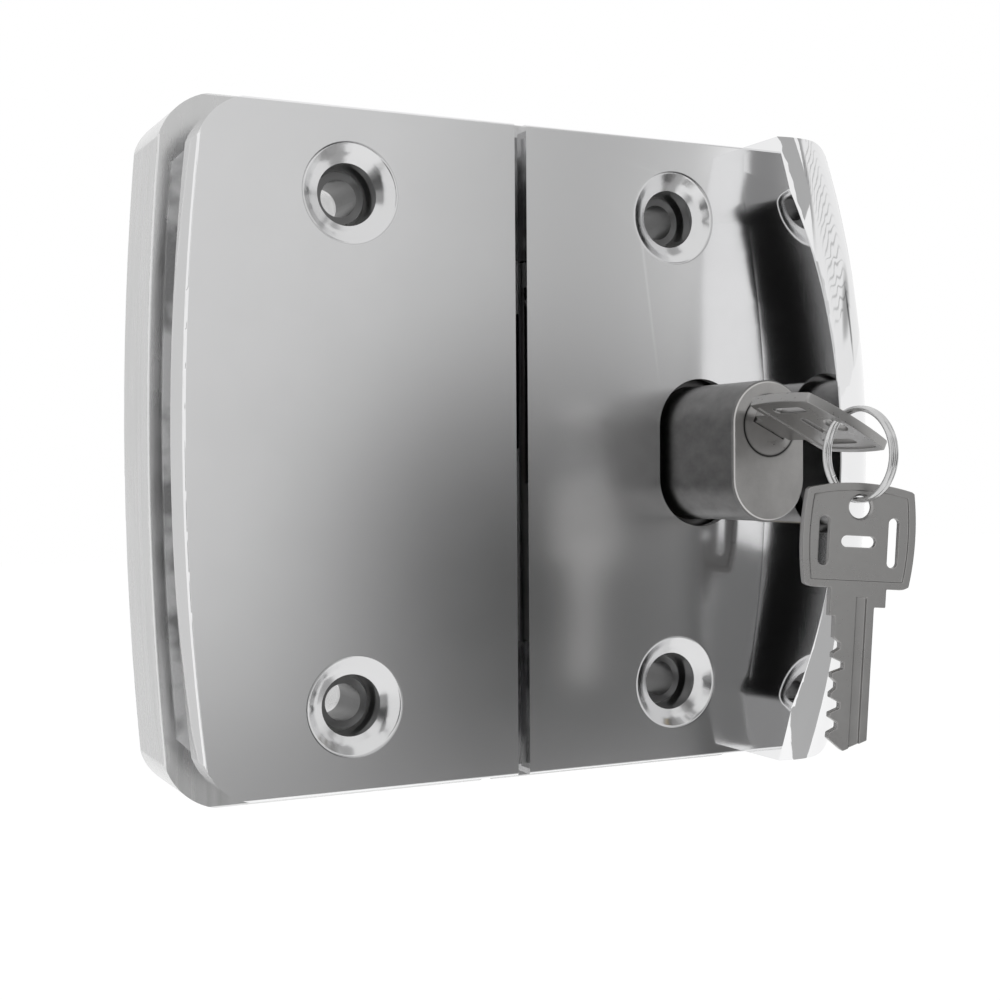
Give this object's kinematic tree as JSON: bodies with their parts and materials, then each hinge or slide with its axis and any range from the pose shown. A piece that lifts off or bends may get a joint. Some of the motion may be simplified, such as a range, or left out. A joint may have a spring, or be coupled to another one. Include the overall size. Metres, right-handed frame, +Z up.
{
  "type": "sliding glass door lock",
  "caption": "Two-half clamp lock for sliding glass doors: oval key cylinder, hook bolt driven by a toothed cam, keeper plate, pull grip, key and spare key on a split ring.",
  "frame": {"origin": "centre of the four through bolts at the mid-plane of the glass, on the seam between the halves", "axes": "+X from the strike half to the lock half, +Y from the keyed front through the glass, +Z up"},
  "size_m": [0.1674, 0.1144, 0.1594],
  "materials": {
    "polished_chrome": "polished",
    "satin_nickel": "satin",
    "plain_steel": "plain machined",
    "cast_zinc": "cast, matt",
    "brass": "machined",
    "plug_metal": "nickel plated, satin",
    "soft_sheet": "matt",
    "bush_plastic": "matt"
  },
  "bodies": {
    "frame": {"strike_front_cover": "polished_chrome", "strike_rear_cover": "polished_chrome", "strike_core": "cast_zinc", "strike_plate": "plain_steel", "strike_plate_screws": "plain_steel", "strike_core_screws": "plain_steel", "strike_front_gasket": "soft_sheet", "strike_rear_gasket": "soft_sheet", "strike_sleeves": "plain_steel", "strike_bushes": "bush_plastic", "lock_front_cover": "polished_chrome", "pull_grip": "polished_chrome", "pull_screws": "plain_steel", "lock_rear_cover": "polished_chrome", "lock_case": "cast_zinc", "case_lid": "plain_steel", "case_screws": "plain_steel", "faceplate": "plain_steel", "faceplate_screws": "plain_steel", "hook_pin": "plain_steel", "hook_spacers": "plain_steel", "stop_pins": "plain_steel", "cylinder_body": "satin_nickel", "cylinder_screws": "plain_steel", "driver_pins": "brass", "pin_springs": "plain_steel", "chamber_cap": "brass", "lock_front_gasket": "soft_sheet", "lock_rear_gasket": "soft_sheet", "lock_sleeves": "plain_steel", "lock_bushes": "bush_plastic"},
    "plug": {"plug": "plug_metal", "plug_clip": "plain_steel", "bottom_pins": "brass", "cam_gear": "plain_steel", "cam_washer": "plain_steel", "cam_screw": "plain_steel"},
    "hook": {"hook_bolt": "plain_steel"},
    "key": {"key": "satin_nickel"},
    "ring": {"split_ring": "satin_nickel"},
    "spare": {"spare_key": "satin_nickel"}
  },
  "joints": [
    {"name": "plug_turn", "type": "hinge", "parent": "frame", "child": "plug", "pos_m": [0.0491, 0, 0.0053], "axis": [0, 1, 0], "range_deg": [-26, 64]},
    {"name": "hook_swing", "type": "hinge", "parent": "frame", "child": "hook", "pos_m": [0.0167, 0, 0.0053], "axis": [0, 1, 0], "range_deg": [-90, 37]},
    {"name": "key_withdraw", "type": "slide", "parent": "plug", "child": "key", "axis": [0, -1, 0], "range_m": [0, 0.032]},
    {"name": "ring_swing", "type": "hinge", "parent": "key", "child": "ring", "pos_m": [0.0491, -0.06735, 0.0053], "axis": [-0.1045, 0.9945, 0], "range_deg": [-4, 12]},
    {"name": "spare_swing", "type": "hinge", "parent": "ring", "child": "spare", "pos_m": [0.04979, -0.07396, -0.01135], "axis": [0.309, 0.9511, 0], "range_deg": [-10, 10]}
  ],
  "couplings": [
    {"joint": "hook_swing", "follows": "plug_turn", "ratio": -1.4}
  ]
}
